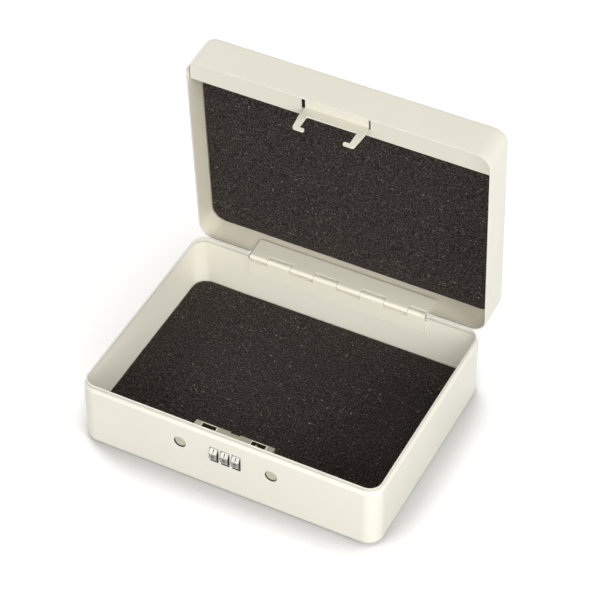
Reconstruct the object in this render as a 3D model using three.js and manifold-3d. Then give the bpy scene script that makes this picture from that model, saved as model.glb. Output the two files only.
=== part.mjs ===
// A small portable safe of painted sheet steel: a drawn base tray, a drawn lid on a rolled hinge,
// and a three-dial lock whose two latches hold a pair of hooks under the lid.
// Millimetres, +Z up. The origin is the middle of the underside and the lock faces -Y.
// The lid is shown open, leaning back on its stop.
import * as THREE from "three";
import { mergeVertices } from "three/addons/utils/BufferGeometryUtils.js";
import Module from "manifold-3d";

const wasm = await Module();
wasm.setup();

// Box
const boxWidth = 240;
const boxDepth = 180;
const baseHeight = 58;
const lidHeight = 32;
const sheet = 1.2;
const cornerRadius = 12;
const edgeRadius = 4;
const lipHeight = 2.5;
const joggleHeight = 3.6;
const seamGap = 0.3;
const lidOpenAngle = 86;

// Foam pads
const baseFoamThickness = 11;
const lidFoamThickness = 11.5;
const foamInset = 0.6;
const foamEdgeRadius = 1.5;

// Hinge
const hingeLength = 147;
const knuckleCount = 8;
const endKnuckleLength = 14.7;
const knuckleGap = 0.3;
const leafThickness = 1;
const leafHeight = 16.3;
const leafGap = 0.2;
const barrelRadius = 2.7;
const barrelClearance = 0.5;
const hingePinRadius = 1.6;
const hingePinHeadRadius = 2.3;
const hingePinHeadLength = 0.8;
const curlEndAngle = 285;
const weldMarkFromEnd = 11.8;
const weldMarkFromEdge = 6;
const weldMarkRadius = 1.1;
const weldMarkDepth = 0.4;

// Lid front rail
const railRecess = 3.2;
const railFlangeWidth = 18.5;
const railEndGap = 0.8;
const railLegHeight = 11;

// Latch hooks
const hookSheet = 1.5;
const hookPlaneFromFront = 11.7;
const hookBandStep = 0.6;
const hookBandDepth = 7.7;
const hookSlitWidth = 1.5;
const hookToeAboveDials = 0.7;
const hookTipBesideCheek = 1.6;
const hookTipLength = 4.4;
const hookStemWidth = 4.6;
const hookRootFlare = 1.2;
const hookTipHeight = 2.9;
const hookTipRadius = 1.2;
const hookHeelRadius = 2.6;
const hookFilletRadius = 1.2;
const bracketLegHeight = 6.8;

// Lock case
const caseSheet = 1;
const caseHalfLength = 31.6;
const caseHeadroom = 0.4;
const caseHeight = 22;
const caseDepthFromWall = 15.6;
const caseSlotPastTip = 1.2;
const caseSlotDepth = 4.9;
const caseSlotFromBack = 1.5;
const caseSlotCollarHeight = 0.7;
const caseSlotCollarWidth = 0.6;
const caseRecessWidth = 8;
const caseRecessDepth = 1.4;
const caseCornerRadius = 1.5;
const earLength = 14;
const earHeight = 15;

// Dials
const dialCount = 3;
const dialPitch = 8.9;
const dialWidth = 6.2;
const dialRadius = 8;
const dialProtrusion = 2.8;
const dialFlats = 10;
const dialFlatHalfAngle = 16.5;
const dialGrooveDepth = 0.35;
const dialCentreHeight = 35.5;
const windowWidth = 7;
const windowHeight = 14.4;
const windowRadius = 0.8;
const shaftRadius = 1.5;
const sleeveOuterRadius = 3.7;
const sleeveShoulder = 0.8;
const runningGap = 0.1;
const cheekThickness = 0.8;
const cheekFrontWidth = 6.1;
const cheekReach = 9;
const blockingSheet = 0.8;
const blockingPlateWidth = 3;
const blockingFingerThickness = 0.6;
const detentSheet = 0.4;
const detentFingerWidth = 5;
const detentStripHeight = 4;
const detentPastCrest = 3.8;
const rivetShankRadius = 1;
const rivetHeadRadius = 1.8;
const rivetHeadHeight = 0.8;
const bracketRivetSpacing = 13;
const bracketRivetRise = 2.2;

// Buttons, as high as the dials
const buttonBesideCase = 0.65;
const buttonRadius = 4.45;
const buttonSunk = 0.4;
const buttonTravel = 2.6;
const buttonEdge = 0.4;
const buttonEarReach = 6;
const buttonEarThickness = 0.8;
const buttonStemRadius = 2.5;
const buttonHoleGap = 0.45;

// Latch sliders
const latchTravel = 3.4;
const latchOverlap = 3.1;
const sliderSheet = 1.2;
const sliderBackFromHook = 1.5;
const sliderPastButton = 4.1;
const sliderPastCase = 0.8;
const catchThickness = 1.6;
const catchHeight = 5;
const catchWidth = 7;
const catchPastHook = 1.8;
const catchBevel = 1.1;
const springTabThickness = 1.2;
const springTabHeight = 6.7;
const springTabWidth = 4.4;
const springWire = 0.6;
const springRadius = 1.9;
const springTurns = 6;
const springRise = 5.5;

// Play between neighbours that touch on the real thing, and the overrun of a cut
const play = 0.3;
const overrun = 2;

// Facets for a quarter turn of a tray corner, of a small bend and of a bore
const cornerSteps = 6;
const bendSteps = 4;
const circleSteps = 24;

// Places that follow from the sizes
const halfWidth = boxWidth / 2;
const halfDepth = boxDepth / 2;
const frontFace = -halfDepth;
const frontInside = frontFace + sheet;
const backInside = halfDepth - sheet;
const rimHeight = baseHeight - lipHeight;
const lidTop = rimHeight + lidHeight;
const lipInset = sheet + seamGap;
const leafFront = backInside - leafGap - leafThickness;
const pivotDepth = leafFront + barrelRadius;
const pivotHeight = rimHeight - barrelRadius - barrelClearance;
const hookFront = frontFace + hookPlaneFromFront;
const hookBack = hookFront + hookSheet;
const railUnderside = rimHeight + railRecess;
const hookStripUnderside = railUnderside + leafGap;
const outerDial = (dialPitch * (dialCount - 1)) / 2;
const cheekInner = outerDial + dialWidth / 2 + sleeveShoulder + 2 * runningGap;
const cheekOuter = cheekInner + cheekThickness;
const cheekTop = dialCentreHeight + cheekReach;
const cheekBottom = dialCentreHeight - cheekReach;
const hookToe = dialCentreHeight + hookToeAboveDials;
const hookTipInner = cheekOuter + hookTipBesideCheek;
const hookStemInner = hookTipInner + hookTipLength;
const hookToeOuter = hookStemInner + hookStemWidth;
const hookRootOuter = hookToeOuter + hookRootFlare;
const hookBandHalf = hookRootOuter - hookBandStep;
const blockingUnderside = dialCentreHeight + dialRadius + play;
const caseTop = blockingUnderside + blockingSheet + caseHeadroom + caseSheet;
const caseBottom = caseTop - caseHeight;
const caseBack = frontInside + caseDepthFromWall;
const caseBackInside = caseBack - caseSheet;
const caseEndInside = caseHalfLength - caseSheet;
const caseSlotInner = hookTipInner - caseSlotPastTip;
const caseSlotOuter = hookRootOuter;
const dialAxisDepth = frontFace + dialRadius - dialProtrusion;
const webFront = caseBackInside - play - cheekThickness;
const detentCrest = dialAxisDepth + dialRadius + play;
const buttonHeight = dialCentreHeight;
const buttonPlace = caseHalfLength + buttonBesideCase + buttonRadius;
const buttonPlaces = [-buttonPlace, buttonPlace];
const buttonFront = frontFace + buttonSunk;
const earBack = frontInside + play + caseSheet;
const buttonEarFront = earBack + play;
const buttonEarBack = buttonEarFront + buttonEarThickness;
const sliderFront = earBack + play;
const sliderBack = hookFront - sliderBackFromHook;
const sliderUnderside = buttonHeight - sliderSheet / 2;
const sliderInner = cheekOuter + play + latchTravel;
const sliderReach = buttonPlace + sliderPastButton;
const sliderShoulder = caseHalfLength + sliderPastCase;
const rampSlope = latchTravel / buttonTravel;
const rampStart = buttonPlace - buttonRadius - play - rampSlope * (buttonEarBack - sliderFront);
const cheekStepHeight = sliderUnderside - play;
const catchUnderside = hookToe + hookTipHeight + play;
const catchOuter = hookTipInner + latchOverlap;
const catchInner = catchOuter - catchThickness;

// Finishes
const paint = finish(0xe6e3d6, 0.5, 0);
const foam = finish(0x2a2624, 0.95, 0);
const zinc = finish(0xb5b09a, 0.45, 0.6);
const nickel = finish(0xd9d8d2, 0.3, 0.8);
const springSteel = finish(0x8f8d86, 0.35, 0.9);
const plastic = finish(0xc9c4b4, 0.5, 0);

function finish(color, roughness, metalness) {
  return new THREE.MeshStandardMaterial({ color, roughness, metalness });
}

// Points of a circular arc, in degrees.
function arc(cx, cy, radius, from, to, steps) {
  const points = [];
  for (let i = 0; i <= steps; i++) {
    const a = THREE.MathUtils.degToRad(from + ((to - from) * i) / steps);
    points.push([cx + radius * Math.cos(a), cy + radius * Math.sin(a)]);
  }
  return points;
}

// A rectangle with round corners, anticlockwise.
function roundRectangle(halfX, halfY, radius, steps) {
  const x = halfX - radius;
  const y = halfY - radius;
  return [
    ...arc(x, -y, radius, -90, 0, steps),
    ...arc(x, y, radius, 0, 90, steps),
    ...arc(-x, y, radius, 90, 180, steps),
    ...arc(-x, -y, radius, 180, 270, steps),
  ];
}

function rectangle(x0, y0, x1, y1) {
  return [
    [x0, y0],
    [x1, y0],
    [x1, y1],
    [x0, y1],
  ];
}

// A closed body through loops of the box's plan, each drawn in by an inset at a height.
// The first loop is closed by a face that looks down and the last by one that looks up.
function trayBody(sections) {
  const loops = sections.map(([inset, z]) =>
    roundRectangle(
      halfWidth - inset,
      halfDepth - inset,
      Math.max(cornerRadius - inset, sheet),
      cornerSteps,
    ).map(([x, y]) => [x, y, z]),
  );
  const count = loops[0].length;
  const position = loops.flat(2);
  const index = [];
  for (let s = 0; s + 1 < loops.length; s++) {
    for (let i = 0; i < count; i++) {
      const a = s * count + i;
      const b = s * count + ((i + 1) % count);
      index.push(a, b, b + count, a, b + count, a + count);
    }
  }
  const last = (loops.length - 1) * count;
  for (let i = 1; i + 1 < count; i++) {
    index.push(0, i + 1, i);
    index.push(last, last + i, last + i + 1);
  }
  const geometry = new THREE.BufferGeometry();
  geometry.setAttribute("position", new THREE.Float32BufferAttribute(position, 3));
  geometry.setIndex(index);
  return geometry;
}

const axisBases = {
  x: new THREE.Matrix4().makeBasis(
    new THREE.Vector3(0, 1, 0),
    new THREE.Vector3(0, 0, 1),
    new THREE.Vector3(1, 0, 0),
  ),
  y: new THREE.Matrix4().makeBasis(
    new THREE.Vector3(0, 0, 1),
    new THREE.Vector3(1, 0, 0),
    new THREE.Vector3(0, 1, 0),
  ),
  z: new THREE.Matrix4(),
};

// An outline pushed along an axis. Outlines are [y, z] along x, [z, x] along y and [x, y] along z.
function prism(axis, outline, from, to, holes = []) {
  const shape = new THREE.Shape(outline.map(([u, v]) => new THREE.Vector2(u, v)));
  shape.holes = holes.map((hole) => new THREE.Path(hole.map(([u, v]) => new THREE.Vector2(u, v))));
  const geometry = new THREE.ExtrudeGeometry(shape, { depth: to - from, bevelEnabled: false });
  return geometry.translate(0, 0, from).applyMatrix4(axisBases[axis]);
}

function block(x0, x1, y0, y1, z0, z1) {
  return prism("z", rectangle(x0, y0, x1, y1), z0, z1);
}

// A turned piece about the y axis: [radius, y] points from the axis and back to it.
function turned(profile, x, z) {
  const points = profile.map(([r, y]) => new THREE.Vector2(r, y));
  return new THREE.LatheGeometry(points, circleSteps).translate(x, 0, z);
}

function circle(cx, cy, radius) {
  return arc(cx, cy, radius, 0, 360 - 360 / circleSteps, circleSteps - 1);
}

function solidOf(geometry) {
  const bare = geometry.clone();
  bare.deleteAttribute("normal");
  bare.deleteAttribute("uv");
  const merged = mergeVertices(bare, 1e-4);
  return new wasm.Manifold(
    new wasm.Mesh({
      numProp: 3,
      vertProperties: new Float32Array(merged.attributes.position.array),
      triVerts: new Uint32Array(merged.index.array),
    }),
  );
}

function geometryOf(solid) {
  const { vertProperties, triVerts } = solid.getMesh();
  const geometry = new THREE.BufferGeometry();
  geometry.setAttribute("position", new THREE.BufferAttribute(vertProperties, 3));
  geometry.setIndex(new THREE.BufferAttribute(triVerts, 1));
  geometry.computeVertexNormals();
  return geometry;
}

function join(...geometries) {
  return geometryOf(geometries.map(solidOf).reduce((sum, piece) => sum.add(piece)));
}

function cut(geometry, ...tools) {
  return geometryOf(tools.map(solidOf).reduce((rest, tool) => rest.subtract(tool), solidOf(geometry)));
}

// The same piece on the other side of the lock's middle.
function mirrored(geometry) {
  const copy = geometry.index ? geometry.toNonIndexed() : geometry.clone();
  const { array } = copy.attributes.position;
  for (let i = 0; i < array.length; i += 9) {
    for (const k of [0, 3, 6]) array[i + k] *= -1;
    for (const k of [0, 1, 2]) {
      const held = array[i + 3 + k];
      array[i + 3 + k] = array[i + 6 + k];
      array[i + 6 + k] = held;
    }
  }
  copy.deleteAttribute("normal");
  const closed = mergeVertices(copy, 1e-4);
  closed.computeVertexNormals();
  return closed;
}

function piece(name, geometry, material) {
  const mesh = new THREE.Mesh(geometry, material);
  mesh.name = name;
  return mesh;
}

// The rounded bottom edge of a tray, as [inset, z] points on a quarter circle.
function quarterEdge(radius, inset, z, rise) {
  return arc(0, 0, radius, 0, 90, bendSteps).map(([u, v]) => [
    inset + radius - u,
    z + rise * (radius - v),
  ]);
}

const windowOutline = roundRectangle(windowWidth / 2, windowHeight / 2, windowRadius, bendSteps);
const dialPlaces = Array.from({ length: dialCount }, (_, i) => i * dialPitch - outerDial);

// Base tray: floor, walls, a joggle that sets the top edge in, and the lip that the lid goes over.
function baseShell() {
  const outerEdge = quarterEdge(edgeRadius, 0, 0, 1).reverse();
  const innerEdge = quarterEdge(edgeRadius - sheet, sheet, sheet, 1);
  const joggle = [];
  for (let i = 0; i <= 2 * bendSteps; i++) {
    const share = i / (2 * bendSteps);
    joggle.push([
      (lipInset * (1 - Math.cos(Math.PI * share))) / 2,
      rimHeight - joggleHeight * (1 - share),
    ]);
  }
  const innerJoggle = joggle.map(([inset, z]) => [inset + sheet, z]).reverse();
  const body = trayBody([
    ...outerEdge,
    ...joggle,
    [lipInset, baseHeight],
    [lipInset + sheet, baseHeight],
    ...innerJoggle,
    ...innerEdge,
  ]);
  const notchHalf = hingeLength / 2 + hingePinHeadLength + 2 * play;
  const hingeNotch = block(
    -notchHalf,
    notchHalf,
    leafFront - overrun,
    halfDepth + overrun,
    pivotHeight - barrelRadius - play,
    baseHeight + overrun,
  );
  const windows = dialPlaces.map((x) =>
    prism(
      "y",
      windowOutline.map(([u, v]) => [dialCentreHeight + v, x + u]).reverse(),
      frontFace - overrun,
      frontInside + overrun,
    ),
  );
  const buttonHoles = buttonPlaces.map((x) =>
    prism(
      "y",
      circle(buttonHeight, x, buttonRadius + buttonHoleGap),
      frontFace - overrun,
      frontInside + overrun,
    ),
  );
  return cut(body, hingeNotch, ...windows, ...buttonHoles);
}

function lidShell() {
  const innerEdge = quarterEdge(edgeRadius - sheet, sheet, lidTop - sheet, -1).reverse();
  const outerEdge = quarterEdge(edgeRadius, 0, lidTop, -1);
  return trayBody([...innerEdge, [sheet, rimHeight], [0, rimHeight], ...outerEdge]);
}

// Foam on the sheet at a height, up or down from there. Its glued side clears the sheet's bend.
function foamPad(bed, thickness, rise) {
  const inset = sheet + foamInset;
  const sections = [
    ...quarterEdge(edgeRadius - sheet - play, inset, bed, rise).reverse(),
    ...quarterEdge(foamEdgeRadius, inset, bed + rise * thickness, -rise),
  ];
  return trayBody(rise > 0 ? sections : sections.reverse());
}

// Where the knuckles start and end along the hinge.
function knuckleSpans() {
  const inner = (hingeLength - 2 * endKnuckleLength) / (knuckleCount - 2);
  const edges = [-hingeLength / 2];
  for (let i = 0; i < knuckleCount; i++) {
    const end = i === 0 || i === knuckleCount - 1;
    edges.push(edges[i] + (end ? endKnuckleLength : inner));
  }
  return edges.slice(1).map((edge, i) => [
    edges[i] + (i === 0 ? 0 : knuckleGap / 2),
    edge - (i === knuckleCount - 1 ? 0 : knuckleGap / 2),
  ]);
}

// A leaf with every other knuckle rolled from its edge. side is 1 for the leaf below the pin.
function hingeLeaf(first, side) {
  const bore = barrelRadius - leafThickness;
  const wrap = [
    ...arc(0, 0, barrelRadius, 180, 180 - curlEndAngle, circleSteps),
    ...arc(0, 0, bore, 180 - curlEndAngle, 180, circleSteps),
  ];
  const rolled = [
    [-barrelRadius, -barrelRadius - barrelClearance],
    ...wrap,
    [-bore, -barrelRadius - barrelClearance],
  ].map(([y, z]) => [pivotDepth + y, pivotHeight + side * z]);
  if (side > 0) rolled.reverse();
  const spans = knuckleSpans();
  const own = spans.filter((_, i) => i % 2 === first);
  const edgeAtBarrel = pivotHeight - side * (barrelRadius + barrelClearance);
  const edgeFar = pivotHeight - side * leafHeight;
  const plate = block(
    -hingeLength / 2,
    hingeLength / 2,
    leafFront,
    leafFront + leafThickness,
    Math.min(edgeAtBarrel, edgeFar),
    Math.max(edgeAtBarrel, edgeFar),
  );
  const necks = own.map(([from, to]) =>
    block(
      from,
      to,
      leafFront,
      leafFront + leafThickness,
      Math.min(pivotHeight - (side * barrelRadius) / 2, edgeAtBarrel - side),
      Math.max(pivotHeight - (side * barrelRadius) / 2, edgeAtBarrel - side),
    ),
  );
  const knuckles = own.map(([from, to]) => prism("x", rolled, from, to));
  return join(plate, ...necks, ...knuckles);
}

// Dent that the spot weld leaves in the lid's leaf.
function weldMark() {
  return turned(
    [
      [0, leafFront - overrun],
      [weldMarkRadius, leafFront - overrun],
      [weldMarkRadius, leafFront],
      [0, leafFront + weldMarkDepth],
    ],
    -hingeLength / 2 + weldMarkFromEnd,
    pivotHeight + leafHeight - weldMarkFromEdge,
  );
}

function hingePin() {
  const end = hingeLength / 2 + play;
  const shank = prism("x", circle(pivotDepth, pivotHeight, hingePinRadius), -end, end + play);
  const head = prism(
    "x",
    circle(pivotDepth, pivotHeight, hingePinHeadRadius),
    -end - hingePinHeadLength,
    -end,
  );
  return join(shank, head);
}

// Stiffening rail behind the lid's front wall: a leg on the wall and a flange along the opening,
// with a notch that the hook bracket sits in.
function frontRail() {
  const cornerX = halfWidth - cornerRadius;
  const cornerY = halfDepth - cornerRadius;
  const radius = cornerRadius - sheet - play;
  const end = halfWidth - sheet - railEndGap;
  const flangeBack = frontInside + railFlangeWidth;
  const reach = THREE.MathUtils.radToDeg(Math.acos((end - cornerX) / radius));
  const outline = [
    ...arc(-cornerX, -cornerY, radius, 180 + reach, 270, cornerSteps),
    ...arc(cornerX, -cornerY, radius, 270, 360 - reach, cornerSteps),
    [end, flangeBack],
    [-end, flangeBack],
  ];
  const flange = prism("z", outline, railUnderside, railUnderside + sheet);
  const leg = block(
    -cornerX,
    cornerX,
    frontInside + play,
    frontInside + play + sheet,
    railUnderside,
    railUnderside + railLegHeight,
  );
  const notch = block(
    -hookBandHalf - hookSlitWidth,
    hookBandHalf + hookSlitWidth,
    frontFace,
    hookBack + play,
    railUnderside - overrun,
    hookStripUnderside + bracketLegHeight + play,
  );
  return cut(join(flange, leg), notch);
}

// Bracket in the rail's notch: a leg on the wall, a strip along the opening and a band with two
// hooks.
function hookBracket() {
  const bandEdge = hookStripUnderside - hookBandDepth;
  const top = hookStripUnderside + hookSheet;
  const tipTop = hookToe + hookTipHeight;
  const legFront = frontInside + play;
  const hook = new THREE.Path()
    .moveTo(hookStemInner - hookFilletRadius, bandEdge)
    .quadraticCurveTo(hookStemInner, bandEdge, hookStemInner, bandEdge - hookFilletRadius)
    .lineTo(hookStemInner, tipTop)
    .lineTo(hookTipInner + hookTipRadius, tipTop)
    .quadraticCurveTo(hookTipInner, tipTop, hookTipInner, tipTop - hookTipRadius)
    .lineTo(hookTipInner, hookToe + hookTipRadius)
    .quadraticCurveTo(hookTipInner, hookToe, hookTipInner + hookTipRadius, hookToe)
    .lineTo(hookToeOuter - hookHeelRadius, hookToe)
    .quadraticCurveTo(hookToeOuter, hookToe, hookToeOuter, hookToe + hookHeelRadius)
    .lineTo(hookRootOuter, bandEdge)
    .lineTo(hookBandHalf, bandEdge + hookHeelRadius)
    .lineTo(hookBandHalf, top)
    .getPoints(bendSteps);
  const left = hook.map((p) => [p.y, -p.x]).reverse();
  const right = hook.map((p) => [p.y, p.x]);
  const band = prism("y", [...left, ...right], hookFront, hookBack);
  const strip = block(-hookBandHalf, hookBandHalf, legFront, hookBack, hookStripUnderside, top);
  const leg = block(
    -hookBandHalf,
    hookBandHalf,
    legFront,
    legFront + hookSheet,
    hookStripUnderside,
    hookStripUnderside + bracketLegHeight,
  );
  return join(band, strip, leg);
}

// Lock case: a folded tray that opens on the front wall, with ears welded to that wall.
function lockCase() {
  const earOuter = caseHalfLength + earLength;
  const front = frontInside + play;
  const body = cut(
    block(-caseHalfLength, caseHalfLength, front, caseBack, caseBottom, caseTop),
    block(
      -caseEndInside,
      caseEndInside,
      front - overrun,
      caseBackInside,
      caseBottom + caseSheet,
      caseTop - caseSheet,
    ),
  );
  const ears = [-1, 1].map((side) =>
    prism(
      "y",
      [
        [buttonHeight - earHeight / 2, side * caseEndInside],
        [buttonHeight - earHeight / 2, side * (earOuter - caseCornerRadius)],
        [buttonHeight - earHeight / 2 + caseCornerRadius, side * earOuter],
        [buttonHeight + earHeight / 2 - caseCornerRadius, side * earOuter],
        [buttonHeight + earHeight / 2, side * (earOuter - caseCornerRadius)],
        [buttonHeight + earHeight / 2, side * caseEndInside],
      ],
      front,
      front + caseSheet,
    ),
  );
  const slotBack = caseBack - caseSlotFromBack;
  const slotFront = slotBack - caseSlotDepth;
  const slotEnds = [
    [-caseSlotOuter, -caseSlotInner],
    [caseSlotInner, caseSlotOuter],
  ];
  const collars = slotEnds.map(([from, to]) =>
    block(
      from - caseSlotCollarWidth,
      to + caseSlotCollarWidth,
      slotFront - caseSlotCollarWidth,
      slotBack + caseSlotCollarWidth,
      caseTop - caseSheet / 2,
      caseTop + caseSlotCollarHeight,
    ),
  );
  const slots = slotEnds.map(([from, to]) =>
    block(from, to, slotFront, slotBack, caseTop - caseSheet - overrun, caseTop + overrun),
  );
  const buttonHoles = buttonPlaces.map((x) =>
    prism("y", circle(buttonHeight, x, buttonRadius + runningGap), front - overrun, front + overrun),
  );
  const sliderSlots = [-1, 1].map((side) =>
    block(
      Math.min(side * (caseEndInside - play), side * (caseHalfLength + play)),
      Math.max(side * (caseEndInside - play), side * (caseHalfLength + play)),
      front + caseSheet,
      sliderWideBack() + play,
      sliderUnderside - play,
      sliderUnderside + sliderSheet + play,
    ),
  );
  const recess = block(
    -caseRecessWidth / 2,
    caseRecessWidth / 2,
    caseBack - caseRecessDepth,
    caseBack + overrun,
    caseTop - caseRecessDepth,
    caseTop + overrun,
  );
  const rivetHoles = bracketRivetPlaces().map(([x, z]) =>
    prism(
      "y",
      circle(z, x, rivetShankRadius + runningGap),
      caseBackInside - overrun,
      caseBack + overrun,
    ),
  );
  return cut(
    join(body, ...ears, ...collars),
    ...slots,
    ...buttonHoles,
    ...sliderSlots,
    recess,
    ...rivetHoles,
  );
}

function sliderWideBack() {
  return sliderFront + (sliderReach - rampStart) / rampSlope + play;
}

function bracketRivetPlaces() {
  return [-1, 1].map((side) => [(side * bracketRivetSpacing) / 2, cheekBottom + bracketRivetRise]);
}

// U bracket that carries the dial shaft: two cheeks and a web on the back of the case.
function dialBracket() {
  const front = frontInside + play;
  const cheekOutline = [
    [front, cheekBottom],
    [webFront + cheekThickness, cheekBottom],
    [webFront + cheekThickness, cheekStepHeight],
    [front + cheekFrontWidth, cheekStepHeight],
    [front + cheekFrontWidth, cheekTop],
    [front, cheekTop],
  ];
  const bore = circle(dialAxisDepth, dialCentreHeight, shaftRadius + runningGap);
  const cheeks = [-1, 1].map((side) =>
    prism(
      "x",
      cheekOutline,
      Math.min(side * cheekInner, side * cheekOuter),
      Math.max(side * cheekInner, side * cheekOuter),
      [bore],
    ),
  );
  const web = block(
    -cheekOuter,
    cheekOuter,
    webFront,
    webFront + cheekThickness,
    cheekBottom,
    cheekStepHeight,
  );
  const holes = bracketRivetPlaces().map(([x, z]) =>
    prism("y", circle(z, x, rivetShankRadius + runningGap), webFront - overrun, caseBack),
  );
  const notch = block(
    -cheekOuter - overrun,
    cheekOuter + overrun,
    dialAxisDepth - blockingPlateWidth / 2 - play,
    dialAxisDepth + blockingPlateWidth / 2 + play,
    blockingUnderside - play,
    cheekTop + overrun,
  );
  return cut(join(web, ...cheeks), notch, ...holes);
}

// Blocking plate in the notches of the cheeks, with a finger over the shoulder of each sleeve.
function blockingPlate() {
  const front = dialAxisDepth - blockingPlateWidth / 2;
  const back = dialAxisDepth + blockingPlateWidth / 2;
  const end = cheekOuter + play;
  const plate = block(-end, end, front, back, blockingUnderside, blockingUnderside + blockingSheet);
  const fingers = dialPlaces.map((x) => {
    const side = x + dialWidth / 2 + play;
    return block(
      side,
      side + blockingFingerThickness,
      front,
      back,
      dialCentreHeight + sleeveOuterRadius + play,
      blockingUnderside + blockingSheet,
    );
  });
  return join(plate, ...fingers);
}

function dialShaft() {
  return prism("x", circle(dialAxisDepth, dialCentreHeight, shaftRadius), -cheekOuter, cheekOuter);
}

// Dial: ten flats for the figures, with a shallow finger groove between them.
function dialWheel(x) {
  const half = THREE.MathUtils.degToRad(dialFlatHalfAngle);
  const outline = [];
  for (let i = 0; i < dialFlats; i++) {
    const middle = (i * 2 * Math.PI) / dialFlats;
    const valley = middle + Math.PI / dialFlats;
    for (const [angle, radius] of [
      [middle - half, dialRadius],
      [middle + half, dialRadius],
      [valley, dialRadius - dialGrooveDepth],
    ]) {
      outline.push([
        dialAxisDepth - radius * Math.cos(angle),
        dialCentreHeight - radius * Math.sin(angle),
      ]);
    }
  }
  const bore = circle(dialAxisDepth, dialCentreHeight, sleeveOuterRadius + runningGap);
  return prism("x", outline, x - dialWidth / 2, x + dialWidth / 2, [bore]);
}

// Code sleeve inside a dial, on the shaft.
function codeSleeve(x) {
  const outline = circle(dialAxisDepth, dialCentreHeight, sleeveOuterRadius);
  const bore = circle(dialAxisDepth, dialCentreHeight, shaftRadius + runningGap);
  const reach = dialWidth / 2 + sleeveShoulder;
  return prism("x", outline, x - reach, x + reach, [bore]);
}

// Leaf spring that clicks on the dials' flats: a strip with a bent finger for each dial.
function detentSpring() {
  const back = webFront - play;
  const front = back - detentSheet;
  const low = cheekBottom + play;
  const bend = low + detentStripHeight;
  const tip = dialCentreHeight + detentPastCrest;
  const strip = block(-cheekInner + play, cheekInner - play, front, back, low, bend);
  const finger = [
    [front, low],
    [back, low],
    [back, bend],
    [detentCrest + detentSheet, dialCentreHeight],
    [back, tip],
    [front, tip],
    [detentCrest, dialCentreHeight],
    [front, bend],
  ];
  const fingers = dialPlaces.map((x) =>
    prism("x", finger, x - detentFingerWidth / 2, x + detentFingerWidth / 2),
  );
  const holes = bracketRivetPlaces().map(([x, z]) =>
    prism("y", circle(z, x, rivetShankRadius + runningGap), back - overrun, back + overrun),
  );
  return cut(join(strip, ...fingers), ...holes);
}

function bracketRivet([x, z]) {
  const inner = webFront - play - detentSheet - runningGap;
  const outer = caseBack + runningGap;
  return turned(
    [
      [0, inner - rivetHeadHeight],
      [rivetHeadRadius, inner - rivetHeadHeight],
      [rivetHeadRadius, inner],
      [rivetShankRadius, inner],
      [rivetShankRadius, outer],
      [rivetHeadRadius, outer],
      [rivetHeadRadius, outer + rivetHeadHeight],
      [0, outer + rivetHeadHeight],
    ],
    x,
    z,
  );
}

// Right-hand push button: head, two ears that keep it in, and a stem cut to the slider's ramp.
function pushButton() {
  const x = buttonPlace;
  const rampAt = (u) => sliderFront + (u - rampStart) / rampSlope - play;
  const longEnd = rampAt(x + buttonStemRadius);
  const body = turned(
    [
      [0, buttonFront],
      [buttonRadius - buttonEdge, buttonFront],
      [buttonRadius, buttonFront + buttonEdge],
      [buttonRadius, buttonEarBack],
      [buttonStemRadius, buttonEarBack],
      [buttonStemRadius, longEnd],
      [0, longEnd],
    ],
    x,
    buttonHeight,
  );
  const ears = block(
    x - buttonStemRadius,
    x + buttonStemRadius,
    buttonEarFront,
    buttonEarBack,
    buttonHeight - buttonEarReach,
    buttonHeight + buttonEarReach,
  );
  const before = x - buttonStemRadius - overrun;
  const after = x + buttonStemRadius + overrun;
  const wedge = prism(
    "z",
    [
      [before, rampAt(before)],
      [after, rampAt(after)],
      [after, rampAt(after) + 2 * overrun],
      [before, rampAt(after) + 2 * overrun],
    ],
    buttonHeight - buttonStemRadius - overrun,
    buttonHeight + buttonStemRadius + overrun,
  );
  return cut(join(body, ears), wedge);
}

// Right-hand latch slider: an arm with the ramp, the catch for the hook and a tab for the spring.
function latchSlider() {
  const wideBack = sliderWideBack() - play;
  const arm = prism(
    "z",
    [
      [sliderInner, sliderFront],
      [rampStart, sliderFront],
      [sliderReach, wideBack - play],
      [sliderReach, wideBack],
      [sliderShoulder, wideBack],
      [sliderShoulder, sliderBack],
      [sliderInner, sliderBack],
    ],
    sliderUnderside,
    sliderUnderside + sliderSheet,
  );
  const catchTop = catchUnderside + catchHeight;
  const catchBack = hookBack + catchPastHook;
  const catchFront = catchBack - catchWidth;
  const finger = prism(
    "y",
    [
      [catchUnderside, catchInner],
      [catchTop, catchInner],
      [catchTop, catchOuter - catchBevel],
      [catchTop - catchBevel, catchOuter],
      [catchUnderside, catchOuter],
    ],
    catchFront,
    catchBack,
  );
  const foot = block(
    catchInner,
    catchOuter,
    catchFront,
    sliderBack,
    sliderUnderside,
    catchUnderside + catchBevel,
  );
  const tabOuter = caseEndInside - play;
  const tab = block(
    tabOuter - springTabThickness,
    tabOuter,
    sliderFront,
    sliderFront + springTabWidth,
    sliderUnderside,
    sliderUnderside + springTabHeight,
  );
  return join(arm, finger, foot, tab);
}

// Right-hand latch spring between the dial bracket and the slider's tab.
class Helix extends THREE.Curve {
  constructor(from, to, radius, turns, depth, height) {
    super();
    Object.assign(this, { from, to, radius, turns, depth, height });
  }
  getPoint(t, target = new THREE.Vector3()) {
    const a = 2 * Math.PI * this.turns * t;
    return target.set(
      THREE.MathUtils.lerp(this.from, this.to, t),
      this.depth + this.radius * Math.cos(a),
      this.height + this.radius * Math.sin(a),
    );
  }
}

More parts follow.
